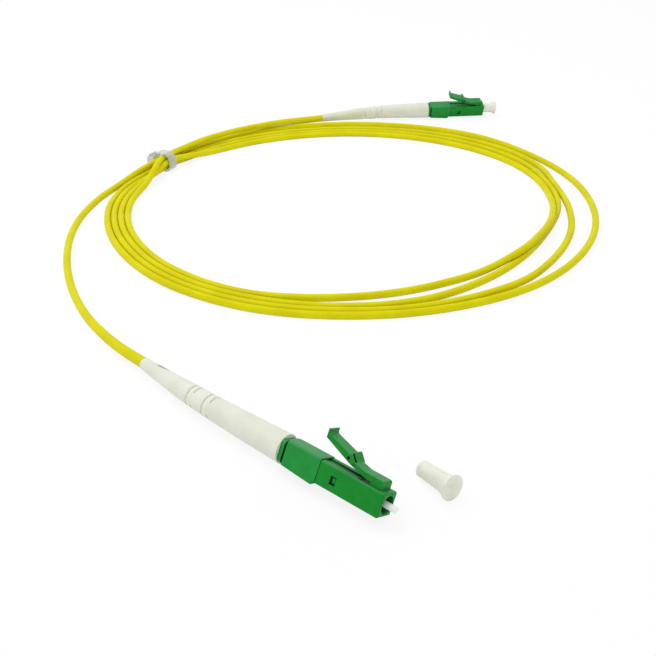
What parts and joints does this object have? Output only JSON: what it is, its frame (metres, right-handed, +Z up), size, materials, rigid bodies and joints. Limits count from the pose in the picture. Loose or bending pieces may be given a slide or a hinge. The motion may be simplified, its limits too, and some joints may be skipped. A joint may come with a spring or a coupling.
{
  "type": "fibre optic patch cable",
  "caption": "Simplex fibre patch cable with angled-contact small-form plugs, long tapered boots and a thin round yellow jacket lying in a tied coil, with dust caps.",
  "frame": {"origin": "where plug A's ferrule axis crosses the front face of its housing", "axes": "+X along plug A's axis, the way it goes into its socket; +Z up from the floor that the cable lies on"},
  "size_m": [0.1753, 0.2212, 0.0113],
  "materials": {
    "green_plastic": "moulded, satin sheen",
    "zirconia": "ground and polished",
    "glass_fibre": "polished at its end",
    "nickel_brass": "nickel plated",
    "spring_steel": "drawn wire",
    "buffer_plastic": "extruded",
    "aramid": "loose yarn",
    "crimp_metal": "crimped",
    "boot_rubber": "moulded, matte",
    "yellow_jacket": "extruded, slight sheen",
    "cap_plastic": "moulded, waxy",
    "tie_nylon": "translucent nylon"
  },
  "bodies": {
    "cable": {"housing_a": "green_plastic", "rear_body_a": "green_plastic", "buffer_a": "buffer_plastic", "back_post_a": "nickel_brass", "yarn_a": "aramid", "crimp_sleeve_a": "crimp_metal", "boot_a": "boot_rubber", "jacket_end_a": "yellow_jacket", "housing_b": "green_plastic", "rear_body_b": "green_plastic", "buffer_b": "buffer_plastic", "back_post_b": "nickel_brass", "yarn_b": "aramid", "crimp_sleeve_b": "crimp_metal", "boot_b": "boot_rubber", "jacket_end_b": "yellow_jacket", "dust_cap_a": "cap_plastic", "cable_lead_a": "yellow_jacket", "cable_coil": "yellow_jacket", "cable_lead_b": "yellow_jacket", "cable_tie": "tie_nylon"},
    "latch_a": {"latch_lever_a": "green_plastic"},
    "ferrule_unit_a": {"ferrule_a": "zirconia", "fibre_a": "glass_fibre", "ferrule_flange_a": "nickel_brass", "spring_a": "spring_steel"},
    "latch_b": {"latch_lever_b": "green_plastic"},
    "ferrule_unit_b": {"ferrule_b": "zirconia", "fibre_b": "glass_fibre", "ferrule_flange_b": "nickel_brass", "spring_b": "spring_steel"},
    "cap_b": {"dust_cap_b": "cap_plastic"}
  },
  "joints": [
    {"name": "latch_a_press", "type": "hinge", "parent": "cable", "child": "latch_a", "pos_m": [-0.0037, 0.00159, 0.00295], "axis": [0, -0.8796, 0.4756], "range_deg": [0, 15], "stiffness_Nm_per_rad": 0.02},
    {"name": "ferrule_a_spring", "type": "slide", "parent": "cable", "child": "ferrule_unit_a", "axis": [-1, 0, 0], "range_m": [0, 0.001], "stiffness_N_per_m": 120, "deforming": ["spring_a"]},
    {"name": "latch_b_press", "type": "hinge", "parent": "cable", "child": "latch_b", "pos_m": [-0.10927, 0.20904, 0.00302], "axis": [0.6872, -0.6409, -0.342], "range_deg": [0, 15], "stiffness_Nm_per_rad": 0.02},
    {"name": "ferrule_b_spring", "type": "slide", "parent": "cable", "child": "ferrule_unit_b", "axis": [-0.682, -0.7314, 0], "range_m": [0, 0.001], "stiffness_N_per_m": 120, "deforming": ["spring_b"]},
    {"name": "cap_b_pull", "type": "slide", "parent": "cable", "child": "cap_b", "axis": [0.682, 0.7314, 0], "range_m": [0, 0.012]}
  ]
}
